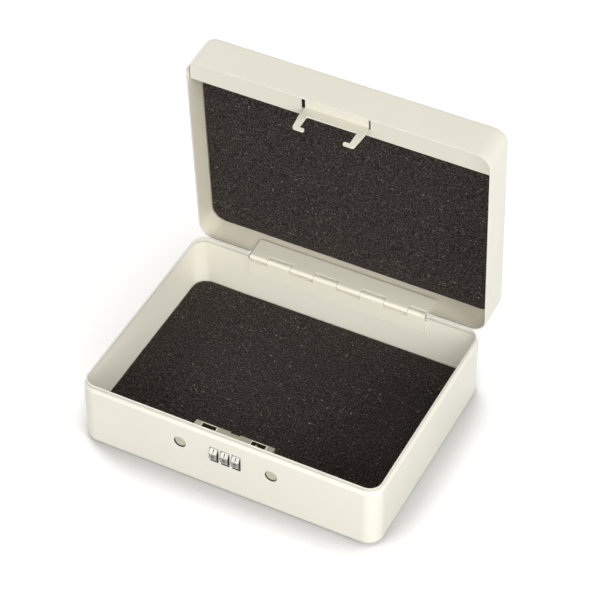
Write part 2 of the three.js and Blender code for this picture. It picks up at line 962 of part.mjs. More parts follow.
function latchSpring() {
  const from = cheekOuter + play + springWire / 2;
  const to = caseEndInside - play - springTabThickness - play - springWire / 2;
  const path = new Helix(
    from,
    to,
    springRadius,
    springTurns,
    sliderFront + springTabWidth / 2,
    sliderUnderside + sliderSheet + springRise / 2,
  );
  const section = new THREE.Shape(
    arc(0, 0, springWire / 2, 0, 360 - 360 / 5, 4).map(([u, v]) => new THREE.Vector2(u, v)),
  );
  return new THREE.ExtrudeGeometry(section, { steps: springTurns * 10, extrudePath: path });
}

const safe = new THREE.Group();

safe.add(
  piece("base_shell", baseShell(), paint),
  piece("base_foam_pad", foamPad(sheet + play, baseFoamThickness, 1), foam),
  piece("base_hinge_leaf", hingeLeaf(1, 1), paint),
  piece("hinge_pin", hingePin(), zinc),
  piece("lock_case", lockCase(), zinc),
  piece("dial_bracket", dialBracket(), zinc),
  piece("dial_shaft", dialShaft(), zinc),
  piece("code_blocking_plate", blockingPlate(), zinc),
  piece("dial_detent_spring", detentSpring(), springSteel),
);
bracketRivetPlaces().forEach((place, i) => {
  safe.add(piece("bracket_rivet_" + (i + 1), bracketRivet(place), zinc));
});
dialPlaces.forEach((x, i) => {
  safe.add(
    piece("dial_wheel_" + (i + 1), dialWheel(x), nickel),
    piece("code_sleeve_" + (i + 1), codeSleeve(x), zinc),
  );
});
for (const [name, flip] of [
  ["left", mirrored],
  ["right", (geometry) => geometry],
]) {
  safe.add(
    piece("push_button_" + name, flip(pushButton()), plastic),
    piece("latch_slider_" + name, flip(latchSlider()), zinc),
    piece("latch_spring_" + name, flip(latchSpring()), springSteel),
  );
}

// The lid is drawn closed and then turned about the hinge pin.
const lid = new THREE.Group();
lid.position.set(0, -pivotDepth, -pivotHeight);
lid.add(
  piece("lid_shell", lidShell(), paint),
  piece("lid_foam_pad", foamPad(lidTop - sheet - play, lidFoamThickness, -1), foam),
  piece("lid_hinge_leaf", cut(hingeLeaf(0, -1), weldMark()), paint),
  piece("lid_front_rail", frontRail(), paint),
  piece("latch_hook_bracket", hookBracket(), paint),
);
const lidPivot = new THREE.Group();
lidPivot.position.set(0, pivotDepth, pivotHeight);
lidPivot.rotation.x = -THREE.MathUtils.degToRad(lidOpenAngle);
lidPivot.add(lid);
safe.add(lidPivot);

export default safe;
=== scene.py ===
import math

import bmesh
import bpy
from mathutils import Matrix, Vector, noise


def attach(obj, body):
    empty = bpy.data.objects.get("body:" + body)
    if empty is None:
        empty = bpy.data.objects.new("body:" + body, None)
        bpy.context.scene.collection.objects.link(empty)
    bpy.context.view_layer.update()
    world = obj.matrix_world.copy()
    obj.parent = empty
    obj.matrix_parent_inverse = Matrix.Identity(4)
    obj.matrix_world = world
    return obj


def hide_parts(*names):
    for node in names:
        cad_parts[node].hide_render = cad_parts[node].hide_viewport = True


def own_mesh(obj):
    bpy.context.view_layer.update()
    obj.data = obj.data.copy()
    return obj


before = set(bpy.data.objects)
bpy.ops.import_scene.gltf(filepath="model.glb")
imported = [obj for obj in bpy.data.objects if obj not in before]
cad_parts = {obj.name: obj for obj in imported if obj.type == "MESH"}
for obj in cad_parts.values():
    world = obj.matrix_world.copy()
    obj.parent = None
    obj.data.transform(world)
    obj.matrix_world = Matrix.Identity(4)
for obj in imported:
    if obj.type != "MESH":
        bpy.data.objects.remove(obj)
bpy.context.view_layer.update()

# Sizes of the safe in millimetres. X is to the right, Y to the back, Z up.
MM = 0.001

# Trays
WIDTH, DEPTH = 240.0, 180.0
SHEET = 1.2
CORNER = 12.0
EDGE = 4.0
LIP_TOP = 58.0
SHOULDER = 55.5
JOGGLE = 3.6
SEAM = 0.3
PLAY = 0.3
LID_TOP = 87.5
LID_ANGLE = 86.0
FACE_Y = -DEPTH / 2
FRONT_INSIDE = FACE_Y + SHEET
BACK_INSIDE = DEPTH / 2 - SHEET
LIP_INSET = SHEET + SEAM
LIP_ROUND = 0.3
RIM_ROUND = 0.45
# The painted bounce light inside starts this far above and below the seam.
SEAM_BAND = 3.0
CUTTER_OVERRUN = 3.0

# Foam pads
BASE_FOAM = 11.0
LID_FOAM = 11.5
FOAM_INSET = 0.6
FOAM_DROP = 0.12
FOAM_WAVE = 0.28
FOAM_WAVE_LENGTH = 34

# Hinge
HINGE_Y, HINGE_Z = 90.3, 52.3
HINGE_LENGTH = 147.0
HINGE_HEAD = 0.8
BARREL = 2.7
LEAF = 1.0

# Dials
DIAL_Y, DIAL_Z = -84.8, 35.5
DIAL_PITCH = 8.9
DIAL_MIDDLES = (-DIAL_PITCH, 0.0, DIAL_PITCH)
DIAL_WIDTH = 6.2
DIAL_RADIUS = 8.0
DIAL_BORE = 3.8
DIAL_FACES = 10
DIAL_STEP = 360 / DIAL_FACES
DIAL_FLAT = 16.5
DIAL_GROOVE = 0.35
DIAL_CHAMFER = 0.35
WINDOW_WIDTH, WINDOW_HEIGHT, WINDOW_CORNER = 7.0, 14.4, 0.8
FIGURE_HEIGHT = 4.3
FIGURE_STROKE = 0.09
FIGURE_RELIEF = 0.03
FIGURE_PROUD = 0.02

# Buttons. What is in front of the ears is set back, and the ears and the ramp stay.
BUTTON_X, BUTTON_Z = 36.7, 35.5
BUTTON_RADIUS = 4.46
BUTTON_HOLE = 4.9
BUTTON_FRONT = -89.07
BUTTON_SET_BACK = 0.55
BUTTON_EARS = -88.0
BUTTON_BACK = -86.5

# Lock case, rail and latches. The ranges are along X, Y and Z, and the slots' are mirrored in X.
CASE_TOP = 46.0
CASE_INSIDE = ((-30.7, 30.7), (-87.6, -74.1), (24.9, 45.1))
HOOK_SLOT = ((14.1, 25.7), (-79.7, -74.6))
RAIL_NOTCH = 26.5
WIDER_SLIT = 1.5

# Stage and camera, in metres and degrees
FLOOR_REACH = 12.0
CAMERA_TARGET = Vector((0.96, 25.89, 93.5)) * MM
CAMERA_AZIMUTH, CAMERA_ELEVATION = 26.93, 44.04
CAMERA_DISTANCE = 1.8039

# Points that are closer than this, in metres, are joined.
SAME_POINT = 1e-6

# Turns what is drawn closed into the open lid of the photograph.
OPEN_LID = (
    Matrix.Translation((0, HINGE_Y, HINGE_Z))
    @ Matrix.Rotation(-math.radians(LID_ANGLE), 4, "X")
    @ Matrix.Translation((0, -HINGE_Y, -HINGE_Z))
)


def linear(hex_colour):
    """A six-digit sRGB colour as linear RGBA."""
    parts = [int(hex_colour[i : i + 2], 16) / 255 for i in (0, 2, 4)]
    return [p / 12.92 if p <= 0.04045 else ((p + 0.055) / 1.055) ** 2.4 for p in parts] + [1.0]


def add_node(tree, kind, inputs=None, **settings):
    """Adds one shader node, with its settings, values and links."""
    made = tree.nodes.new("ShaderNode" + kind)
    for name, value in settings.items():
        setattr(made, name, value)
    for key, value in (inputs or {}).items():
        if isinstance(value, bpy.types.NodeSocket):
            tree.links.new(value, made.inputs[key])
        else:
            made.inputs[key].default_value = value
    return made


def new_material(name):
    """An empty material, its tree and its texture coordinates."""
    material = bpy.data.materials.new(name)
    material.use_nodes = True
    tree = material.node_tree
    tree.nodes.clear()
    place = add_node(tree, "TexCoord").outputs["Object"]
    return material, tree, place


def per_metre(millimetres):
    """A texture scale whose features are about that size."""
    return 1.0 / (millimetres * MM)


def noise_field(tree, place, millimetres, detail, **settings):
    """A noise texture whose features are about that size."""
    inputs = {"Vector": place, "Scale": per_metre(millimetres), "Detail": detail}
    return add_node(tree, "TexNoise", {**inputs, **settings}).outputs["Fac"]


def mixed(tree, share, first, second):
    """A colour between two, each a six-digit sRGB colour or another node's output."""
    ends = [linear(end) if isinstance(end, str) else end for end in (first, second)]
    blend = add_node(tree, "Mix", {0: share, 6: ends[0], 7: ends[1]}, data_type="RGBA")
    return blend.outputs[2]


def ramp(tree, value, low=0.0, high=1.0, start=0.0, end=1.0):
    """The value's range from low to high, mapped to the range from start to end."""
    limits = {"From Min": low, "From Max": high, "To Min": start, "To Max": end}
    return add_node(tree, "MapRange", {"Value": value, **limits}).outputs["Result"]


def combined(tree, operation, first, second):
    """Two values in one, by that operation of the math node."""
    return add_node(tree, "Math", {0: first, 1: second}, operation=operation).outputs["Value"]


def bumped(tree, height, strength, depth):
    """The normal of a surface with relief of that depth in millimetres."""
    inputs = {"Height": height, "Strength": strength, "Distance": depth * MM}
    return add_node(tree, "Bump", inputs).outputs["Normal"]


def finished(material, tree, inputs):
    """Closes a material with a principled surface."""
    shader = add_node(tree, "BsdfPrincipled", inputs)
    add_node(tree, "OutputMaterial", {"Surface": shader.outputs["BSDF"]})
    return material


def powder_coat(name, colour, shade, roughness):
    """Baked powder coat on sheet steel: ivory, half gloss, with the faint orange peel."""
    material, tree, place = new_material(name)
    mottle = noise_field(tree, place, 45, 3.0)
    peel = noise_field(tree, place, 1.6, 2.0)
    inputs = {
        "Base Color": mixed(tree, mottle, colour, shade),
        "Roughness": ramp(tree, mottle, start=roughness - 0.05, end=roughness + 0.05),
        "Normal": bumped(tree, peel, 0.06, 0.2),
        "IOR": 1.5,
    }
    return finished(material, tree, inputs)


def cell_foam():
    """Open-cell foam, brown-black, cut from sheet: matt, with painted glints where its cells catch
    light.
    """
    material, tree, place = new_material("cut_foam")
    cells = add_node(tree, "TexVoronoi", {"Vector": place, "Scale": per_metre(1.1)})
    grain = noise_field(tree, place, 1.4, 4.0, Roughness=0.7)
    glint_field = noise_field(tree, place, 1.9, 1.0)
    dull = mixed(tree, ramp(tree, grain, 0.43, 0.685), "130F0D", "544C47")
    relief = combined(tree, "ADD", cells.outputs["Distance"], grain)
    inputs = {
        # Painted glints: light specks where the glint field is high.
        "Base Color": mixed(tree, ramp(tree, glint_field, 0.69, 0.82), dull, "8F877F"),
        "Roughness": 0.95,
        "Specular IOR Level": 0.12,
        "Sheen Weight": 0.05,
        "Sheen Roughness": 0.6,
        "Normal": bumped(tree, relief, 0.6, 0.5),
    }
    return finished(material, tree, inputs)


def plated_steel(name, colour, shade, roughness, grain_mm, metallic=1.0):
    """Plated sheet or turned steel: the rolling grain shows as fine streaks in the gloss."""
    material, tree, place = new_material(name)
    stretch = {"Vector": place, "Scale": (0.15, 1.0, 1.0)}
    stretched = add_node(tree, "Mapping", stretch, vector_type="POINT")
    grain = noise_field(tree, stretched.outputs["Vector"], grain_mm, 4.0)
    cloud = noise_field(tree, place, 6, 2.0)
    inputs = {
        "Base Color": mixed(tree, cloud, colour, shade),
        "Metallic": metallic,
        "Roughness": ramp(tree, grain, start=roughness - 0.08, end=roughness + 0.1),
        "Normal": bumped(tree, grain, 0.08, 0.1),
    }
    return finished(material, tree, inputs)


def moulded_acetal():
    """Moulded acetal of the buttons: grey beige, smooth, with a fine spark-eroded face."""
    material, tree, place = new_material("moulded_acetal")
    spark = noise_field(tree, place, 0.5, 2.0)
    inputs = {
        "Base Color": mixed(tree, spark, "C2BCA8", "B5AF9A"),
        "Roughness": 0.38,
        "IOR": 1.48,
        "Normal": bumped(tree, spark, 0.1, 0.05),
    }
    return finished(material, tree, inputs)


def filled_ink():
    """Black enamel wiped into the engraved figures of the dials."""
    material, tree, place = new_material("filled_ink")
    wipe = noise_field(tree, place, 0.4, 2.0)
    inputs = {"Base Color": mixed(tree, wipe, "141312", "2A2826"), "Roughness": 0.5}
    return finished(material, tree, inputs)


IVORY = powder_coat("ivory_powder_coat", "E4E2D7", "DFDDD1", 0.32)
# A darker copy of the ivory for the lip's outer faces.
LIP_IVORY_DARKER = powder_coat("lip_powder_coat_darker", "D2D0C4", "BEBCB0", 0.45)
# Painted bounce light: lighter, warmer copies of the ivory for the trays' insides.
TRAY_IVORY_PAINTED_BOUNCE = powder_coat("ivory_tray_inside_painted_bounce", "ECE9DC", "E8E5D7", 0.36)
LID_IVORY_PAINTED_BOUNCE = powder_coat("ivory_lid_inside_painted_bounce", "EBE6D5", "E7E1CD", 0.36)
IVORY_FITTINGS = powder_coat("ivory_wet_paint", "E0DED1", "DAD8CB", 0.2)
# The hinge's own paint, made lighter and warmer as painted bounce light.
LEAF_IVORY_PAINTED_BOUNCE = powder_coat("ivory_hinge_painted_bounce", "ECE9DA", "E8E5D4", 0.2)
# Painted shade: a darker copy of the ivory for the lid's front rail.
RAIL_IVORY_PAINTED_SHADE = powder_coat("ivory_rail_painted_shade", "DEDCD0", "D9D7CA", 0.32)
# Painted highlight: a near-white paint for broken edges.
IVORY_PAINTED_HIGHLIGHT = powder_coat("ivory_painted_highlight_edge", "F6F4EA", "F1EEE2", 0.2)
FOAM = cell_foam()
ZINC = plated_steel("passivated_zinc_plate", "C0BBA8", "ACA692", 0.36, 0.5, 0.7)
NICKEL = plated_steel("satin_nickel_plate", "A8A8A2", "94948E", 0.24, 0.3)
# Painted shade: a dark finish for the walls of the button holes and dial windows.
HOLE_WALL_PAINTED_SHADE = plated_steel("hole_wall_painted_shade", "46433A", "38352E", 0.6, 0.4, 0.3)
# Painted shade: a dark finish for the dials' sides.
DIAL_SIDE_PAINTED_SHADE = plated_steel("dial_side_painted_shade", "4E4C47", "3C3A36", 0.6, 0.4, 0.6)
# Painted highlight: a light zinc for the lock case's collars and edges and for the latch sliders.
ZINC_PAINTED_HIGHLIGHT = plated_steel("zinc_painted_highlight", "F6F3E8", "EAE7DA", 0.3, 0.4, 0.3)
# Grease and painted shade: a dark brown zinc for the inside of the lock case.
ZINC_GREASE_AND_SHADE = plated_steel("zinc_grease_and_painted_shade", "7D6A4E", "6B5A40", 0.5, 0.5, 0.3)
SPRING_STEEL = plated_steel("oiled_spring_steel", "8C8A84", "75736D", 0.34, 0.3)
ACETAL = moulded_acetal()
INK = filled_ink()


def in_scene(name, data):
    """A new object that shows the data, in the scene."""
    made = bpy.data.objects.new(name, data)
    bpy.context.scene.collection.objects.link(made)
    return made


def turn_outward(mesh, join_points=False):
    """Turns all faces of a mesh outward, after joining its double points if wanted."""
    made = bmesh.new()
    made.from_mesh(mesh)
    if join_points:
        bmesh.ops.remove_doubles(made, verts=made.verts, dist=SAME_POINT)
    bmesh.ops.recalc_face_normals(made, faces=made.faces)
    made.to_mesh(mesh)
    made.free()


def mesh_piece(name, points, faces, material, body, open_lid=False, smooth=35.0):
    """A new piece from points in millimetres, on a body."""
    mesh = bpy.data.meshes.new(name)
    mesh.from_pydata([Vector(p) for p in points], [], faces)
    if open_lid:
        mesh.transform(OPEN_LID)
    mesh.transform(Matrix.Scale(MM, 4))
    turn_outward(mesh, join_points=True)
    piece = in_scene(name, mesh)
    finish_mesh(piece, material, smooth)
    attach(piece, body)
    return piece


def finish_mesh(piece, material, smooth):
    """Gives a mesh one material, and smooth shading up to the angle in degrees."""
    piece.data.materials.clear()
    piece.data.materials.append(material)
    piece.data.shade_smooth()
    piece.data.set_sharp_from_angle(angle=math.radians(smooth))


def soften(piece, width, segments=2, angle=38.0, edge_slot=0):
    """Breaks the sharp edges and keeps flat faces flat in the shading."""
    bevel = piece.modifiers.new("broken_edges", "BEVEL")
    bevel.width = width * MM
    bevel.segments = segments
    bevel.limit_method = "ANGLE"
    bevel.angle_limit = math.radians(angle)
    bevel.harden_normals = False
    bevel.material = edge_slot
    bevel.miter_outer = "MITER_ARC"
    weight = piece.modifiers.new("flat_faces", "WEIGHTED_NORMAL")
    weight.keep_sharp = True
    weight.weight = 60


def rounded_loop(half_x, half_y, radius, steps):
    """Points of a rectangle with round corners, anticlockwise from the front right corner."""
    points = []
    for sx, sy, start in ((1, -1, -90), (1, 1, 0), (-1, 1, 90), (-1, -1, 180)):
        for i in range(steps + 1):
            a = math.radians(start + 90 * i / steps)
            points.append(
                (
                    sx * (half_x - radius) + radius * math.cos(a),
                    sy * (half_y - radius) + radius * math.sin(a),
                )
            )
    return points


def lofted(loops, close=False):
    """Faces through loops of equal length: a cap at both ends, or a closed ring of loops."""
    count = len(loops[0])
    points = [p for loop in loops for p in loop]
    faces = []
    rounds = len(loops) if close else len(loops) - 1
    for s in range(rounds):
        a, b = s * count, (s + 1) % len(loops) * count
        for i in range(count):
            j = (i + 1) % count
            faces.append((a + i, a + j, b + j, b + i))
    if not close:
        faces.append(tuple(reversed(range(count))))
        faces.append(tuple(range((len(loops) - 1) * count, len(loops) * count)))
    return points, faces


def circle(centre, radius, step):
    """Points of a circle, anticlockwise, with one each time the angle grows by the step."""
    angles = [math.radians(a) for a in range(0, 360, step)]
    return [(centre[0] + radius * math.cos(a), centre[1] + radius * math.sin(a)) for a in angles]


def tray_loops(sections, steps=14):
    """A tray's outline, inset from the safe's own, at the height of each section."""
    loops = []
    for inset, z in sections:
        radius = max(CORNER - inset, SHEET)
        loop = rounded_loop(WIDTH / 2 - inset, DEPTH / 2 - inset, radius, steps)
        loops.append([(x, y, z) for x, y in loop])
    return loops


def quarter(radius, inset, z, rise, steps=8):
    """[inset, z] points round the edge between a wall and a floor."""
    found = []
    for i in range(steps + 1):
        a = math.radians(90 * i / steps)
        found.append((inset + radius * (1 - math.cos(a)), z + rise * radius * (1 - math.sin(a))))
    return found


def prism_y(loop, y0, y1):
    """A solid whose (x, z) outline runs from y0 to y1."""
    return lofted([[(x, y0, z) for x, z in loop], [(x, y1, z) for x, z in loop]])


def cut_with(piece, cutters):
    """Takes solids out of a piece. Each cutter is (points, faces) in millimetres."""
    tools = []
    for points, faces in cutters:
        mesh = bpy.data.meshes.new("cutter")
        mesh.from_pydata([Vector(p) * MM for p in points], [], faces)
        turn_outward(mesh)
        tool = in_scene("cutter", mesh)
        cut = piece.modifiers.new("cut", "BOOLEAN")
        cut.object, cut.operation, cut.solver = tool, "DIFFERENCE", "EXACT"
        tools.append(tool)
    bpy.context.view_layer.update()
    graph = bpy.context.evaluated_depsgraph_get()
    result = bpy.data.meshes.new_from_object(piece.evaluated_get(graph))
    piece.modifiers.clear()
    piece.data = result
    for tool in tools:
        bpy.data.objects.remove(tool)


def paint_bounce_inside(shell, coat, closed=Matrix()):
    """Gives a tray's inner walls and floor a lighter, warmer copy of the paint, as painted bounce
    light.
    """
    shell.data.materials.append(coat)
    inner = len(shell.data.materials) - 1
    turn = closed.to_3x3()
    middle = Vector((0, 0, SHOULDER))
    for face in shell.data.polygons:
        centre = closed @ (face.center / MM)
        normal = turn @ face.normal
        if abs(centre.z - SHOULDER) > SEAM_BAND and (middle - centre).dot(normal) > 0:
            face.material_index = inner


def rolled_edge(first, second, top, size):
    """[inset, z] points over a rim with round corners. A negative size rolls it downwards."""
    across = math.copysign(abs(size), second - first)
    return [
        (first, top - size),
        (first + across * 0.3, top - size * 0.3),
        (first + across, top),
        (second - across, top),
        (second - across * 0.3, top - size * 0.3),
        (second, top - size),
    ]


def joggle_steps(count=14):
    """[inset, z] points up the smooth step from the wall to the lip."""
    steps = []
    for i in range(count + 1):
        share = i / count
        inset = LIP_INSET * (1 - math.cos(math.pi * share)) / 2
        steps.append((inset, SHOULDER - JOGGLE * (1 - share)))
    return steps


def lock_holes():
    """Cutters for the windows of the dials and the holes of the buttons."""
    outlines = []
    for middle in DIAL_MIDDLES:
        loop = rounded_loop(WINDOW_WIDTH / 2, WINDOW_HEIGHT / 2, WINDOW_CORNER, 6)
        outlines.append([(x + middle, z + DIAL_Z) for x, z in loop])
    for side in (-1, 1):
        outlines.append(circle((side * BUTTON_X, BUTTON_Z), BUTTON_HOLE, 6))
    ends = (FACE_Y - CUTTER_OVERRUN, FRONT_INSIDE + CUTTER_OVERRUN)
    return [prism_y(outline, *ends) for outline in outlines]


def hinge_notch():
    """Cutter for the notch that the hinge sits in."""
    half = HINGE_LENGTH / 2 + HINGE_HEAD + 2 * PLAY
    low = HINGE_Z - BARREL - PLAY
    high = LIP_TOP + CUTTER_OVERRUN
    outline = [(-half, low), (half, low), (half, high), (-half, high)]
    return prism_y(outline, BACK_INSIDE - LEAF - 2, DEPTH / 2 + CUTTER_OVERRUN)


def base_shell():
    """Base tray with a joggle under its lip, and the holes of the lock."""
    outer = quarter(EDGE, 0, 0, 1)[::-1]
    inner = quarter(EDGE - SHEET, SHEET, SHEET, 1)
    joggle = joggle_steps()
    rim = rolled_edge(LIP_INSET, LIP_INSET + SHEET, LIP_TOP, LIP_ROUND)
    inside = [(a + SHEET, z) for a, z in joggle][::-1]
    points, faces = lofted(tray_loops([*outer, *joggle, *rim, *inside, *inner]))
    shell = mesh_piece("painted_base_shell", points, faces, IVORY, "base")
    cut_with(shell, [*lock_holes(), hinge_notch()])
    finish_mesh(shell, IVORY, 35)
    shell.data.materials.append(HOLE_WALL_PAINTED_SHADE)
    shell.data.materials.append(LIP_IVORY_DARKER)
    # The tray's inside takes the painted bounce light.
    paint_bounce_inside(shell, TRAY_IVORY_PAINTED_BOUNCE)
    for face in shell.data.polygons:
        x, y, z = (c / MM for c in face.center)
        outward = Vector((x / WIDTH, y / DEPTH, 0)).dot(face.normal) > 0
        # The lip's outer faces take the darker copy of the ivory.
        if SHOULDER < z < LIP_TOP - LIP_ROUND and outward and abs(face.normal.z) < 0.2:
            face.material_index = 2
        # Painted shade on the walls of the button holes and dial windows.
        across = abs(face.normal.y) < 0.3 and y < FRONT_INSIDE + 0.1
        to_button = min(math.hypot(x - s * BUTTON_X, z - BUTTON_Z) for s in (-1, 1))
        in_window = abs(x) < 1.5 * DIAL_PITCH and abs(z - DIAL_Z) < WINDOW_HEIGHT / 2 + 0.1
        if across and (to_button < BUTTON_HOLE + 0.1 or in_window):
            face.material_index = 1
    soften(shell, 0.12)
    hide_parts("base_shell")


def lid_shell():
    """Lid with a rim whose cut edge the paint has rounded."""
    inner = quarter(EDGE - SHEET, SHEET, LID_TOP - SHEET, -1)[::-1]
    outer = quarter(EDGE, 0, LID_TOP, -1)
    rim = rolled_edge(SHEET, 0, SHOULDER, -RIM_ROUND)
    points, faces = lofted(tray_loops([*inner, *rim, *outer]))
    shell = mesh_piece("painted_lid_shell", points, faces, IVORY, "lid", open_lid=True)
    # The lid's inside takes the painted bounce light.
    paint_bounce_inside(shell, LID_IVORY_PAINTED_BOUNCE, OPEN_LID.inverted())
    soften(shell, 0.1, segments=1, angle=60)
    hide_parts("lid_shell")


def foam_pad(name, node, body, low, thickness, face_up):
    """Foam cut to the tray: soft cut edges, a face that isn't flat, and walls that pull in."""
    inset = SHEET + FOAM_INSET
    bend = EDGE - SHEET - PLAY
    glued = [(bend, 0.0), (0.4 * bend, 0.2 * bend), (0.1 * bend, 0.55 * bend), (0.0, bend)]
    wall = [(0.25, thickness / 2)]
    edge = [(0.0, 1.3), (0.2, 0.5), (0.6, 0.15), (1.3, 0.0)]
    face = [(inward, thickness - below) for inward, below in edge]
    field = [(inward, thickness) for inward in (6, 14, 28, 46, 66)]
    loops = []
    for inward, rise in [*glued, *wall, *face, *field]:
        radius = max(CORNER - SHEET - inward, 1.0)
        flat = rounded_loop(WIDTH / 2 - inset - inward, DEPTH / 2 - inset - inward, radius, 8)
        loop = []
        for x, y in resampled(flat, 120):
            depth = 7.0 if face_up else -7.0
            wave = noise.noise(Vector((x, y, depth)) / FOAM_WAVE_LENGTH) * FOAM_WAVE
            dip = wave * max(0.0, rise / thickness) - FOAM_DROP
            height = rise + dip * (rise > thickness * 0.7)
            loop.append((x, y, low + height if face_up else low + thickness - height))
        loops.append(loop)
    points, faces = lofted(loops)
    pad = mesh_piece(name, points, faces, FOAM, body, open_lid=not face_up, smooth=60)
    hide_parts(node)


def resampled(loop, count):
    """A closed loop as that many points, evenly spaced."""
    closed = [Vector((x, y, 0)) for x, y in loop] + [Vector((*loop[0], 0))]
    lengths = [0.0]
    for a, b in zip(closed, closed[1:]):
        lengths.append(lengths[-1] + (b - a).length)
    found, k = [], 0
    for i in range(count):
        wanted = lengths[-1] * i / count
        while lengths[k + 1] < wanted:
            k += 1
        span = lengths[k + 1] - lengths[k]
        share = (wanted - lengths[k]) / span if span else 0.0
        p = closed[k].lerp(closed[k + 1], share)
        found.append((p.x, p.y))
    return found


def dial_wheel(number, x):
    """Nickel dial: ten flats with a narrow groove between them, chamfered at both sides."""
    flat = DIAL_RADIUS * math.cos(math.radians(DIAL_FLAT))
    samples = []
    for i in range(DIAL_FACES):
        for phi in (-18, -17.7, -17.2, -16.8, -16.5, -11, -5.5, 0, 5.5, 11, 16.5, 16.8, 17.2, 17.7):
            if abs(phi) <= DIAL_FLAT:
                radius = flat / math.cos(math.radians(phi))
            else:
                share = (abs(phi) - DIAL_FLAT) / (DIAL_STEP / 2 - DIAL_FLAT)
                radius = DIAL_RADIUS - DIAL_GROOVE * share * share * (3 - 2 * share)
            samples.append((DIAL_STEP * i + phi, radius))
    half = DIAL_WIDTH / 2
    chamfer = DIAL_CHAMFER
    loops = []
    for across, shrink in (
        (-half, chamfer),
        (-half + chamfer, 0),
        (half - chamfer, 0),
        (half, chamfer),
    ):
        loops.append([ring_point(x + across, angle, radius - shrink) for angle, radius in samples])
    bore = [[ring_point(x + a, angle, DIAL_BORE) for angle, _ in samples] for a in (half, -half)]
    points, faces = lofted([*loops, *bore], close=True)
    wheel = mesh_piece(f"nickel_dial_{number}", points, faces, NICKEL, f"dial_{number}", smooth=22)
    # Painted shade on the dial's sides.
    wheel.data.materials.append(DIAL_SIDE_PAINTED_SHADE)
    for face in wheel.data.polygons:
        if abs(face.normal.x) > 0.9:
            face.material_index = 1
    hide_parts(f"dial_wheel_{number}")


def ring_point(x, angle, radius):
    """A point round the dials' shaft. The angle is from the front, upwards."""
    a = math.radians(angle)
    return (x, DIAL_Y - radius * math.cos(a), DIAL_Z + radius * math.sin(a))


def dial_figures(number, x):
    """The figures 0 to 9 round a dial, as thin inlays on the flats."""
    flat = DIAL_RADIUS * math.cos(math.radians(DIAL_FLAT))
    made = bmesh.new()
    for i in range(DIAL_FACES):
        text = bpy.data.curves.new("figure", "FONT")
        text.body = str(-i % DIAL_FACES)
        text.size = FIGURE_HEIGHT
        text.offset = FIGURE_STROKE
        text.align_x, text.align_y = "CENTER", "CENTER"
        text.extrude = FIGURE_RELIEF
        holder = in_scene("figure", text)
        bpy.context.view_layer.update()
        graph = bpy.context.evaluated_depsgraph_get()
        mesh = bpy.data.meshes.new_from_object(holder.evaluated_get(graph))
        place = (
            Matrix.Translation((x, DIAL_Y, DIAL_Z))
            @ Matrix.Rotation(math.radians(DIAL_STEP * i), 4, "X")
            @ Matrix.Translation((0, -flat - FIGURE_PROUD, 0))
            @ Matrix.Rotation(math.radians(90), 4, "X")
        )
        mesh.transform(place)
        made.from_mesh(mesh)
        bpy.data.objects.remove(holder)
        bpy.data.meshes.remove(mesh)
    mesh = bpy.data.meshes.new(f"dial_figures_{number}")
    made.to_mesh(mesh)
    made.free()
    mesh.transform(Matrix.Scale(MM, 4))
    piece = in_scene(f"dial_figures_{number}", mesh)
    piece.data.materials.append(INK)
    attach(piece, f"dial_{number}")


def from_solid(name, node, body, material, smooth=35.0):
    """A new piece that starts as a solid's own mesh and stands for it."""
    piece = in_scene(name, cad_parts[node].data.copy())
    finish_mesh(piece, material, smooth)
    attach(piece, body)
    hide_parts(node)
    return piece


def push_button(side, sign):
    """Turned button, set back in its hole, with a broken edge and a slightly dished face."""
    stem = from_solid(f"button_stem_{side}", f"push_button_{side}", f"button_{side}", ACETAL, 30)
    for point in stem.data.vertices:
        if point.co.y < BUTTON_EARS * MM:
            point.co.y += BUTTON_SET_BACK * MM
    front = BUTTON_FRONT
    dish = [(1.2, front + 0.16), (2.4, front + 0.09), (3.5, front)]
    edge = [(0.5, 0.0), (0.2, 0.07), (0.05, 0.22), (0.0, 0.45)]
    rim = [(BUTTON_RADIUS - inward, front + behind) for inward, behind in edge]
    loops = []
    for radius, y in [*dish, *rim, (BUTTON_RADIUS, BUTTON_BACK)]:
        ring = circle((sign * BUTTON_X, BUTTON_Z), radius, 5)
        loops.append([(x, y, z) for x, z in ring])
    points, faces = lofted(loops)
    head = mesh_piece(f"button_head_{side}", points, faces, ACETAL, f"button_{side}", smooth=30)


def front_rail():
    """Rail along the lid's opening, in a darker copy of the ivory as painted shade. The slit beside
    the hook bracket is wider on the left.
    """
    rail = from_solid("painted_front_rail", "lid_front_rail", "lid", RAIL_IVORY_PAINTED_SHADE)
    for point in rail.data.vertices:
        if abs(point.co.x / MM + RAIL_NOTCH) < 0.5:
            point.co.x -= WIDER_SLIT * MM
    broken_edges(rail, 0.12)


def lock_case():
    """Pressed lock case: painted highlights on the collars round the hook slots and on its broken
    edges, and grease with painted shade on its inside.
    """
    case = from_solid("plated_lock_case", "lock_case", "base", ZINC)
    case.data.materials.append(ZINC_PAINTED_HIGHLIGHT)
    case.data.materials.append(ZINC_GREASE_AND_SHADE)
    for face in case.data.polygons:
        centre = [c / MM for c in face.center]
        sideways = (abs(centre[0]), centre[1])
        inside = all(low < c < high for c, (low, high) in zip(centre, CASE_INSIDE))
        in_slot = all(low < c < high for c, (low, high) in zip(sideways, HOOK_SLOT))
        # Grease with painted shade inside the case and on the slot walls, painted highlight on the
        # collars' tops.
        if inside or (in_slot and abs(face.normal.z) < 0.5):
            face.material_index = 2
        elif centre[2] > CASE_TOP + 0.1:
            face.material_index = 1
    # The broken edges take the painted highlight.
    broken_edges(case, 0.2, edge_slot=1)


def latch_spring(side):
    """Coil spring of a latch, on a mesh of its own."""
    spring = from_solid(f"latch_coil_{side}", f"latch_spring_{side}", "base", SPRING_STEEL)
    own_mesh(spring)


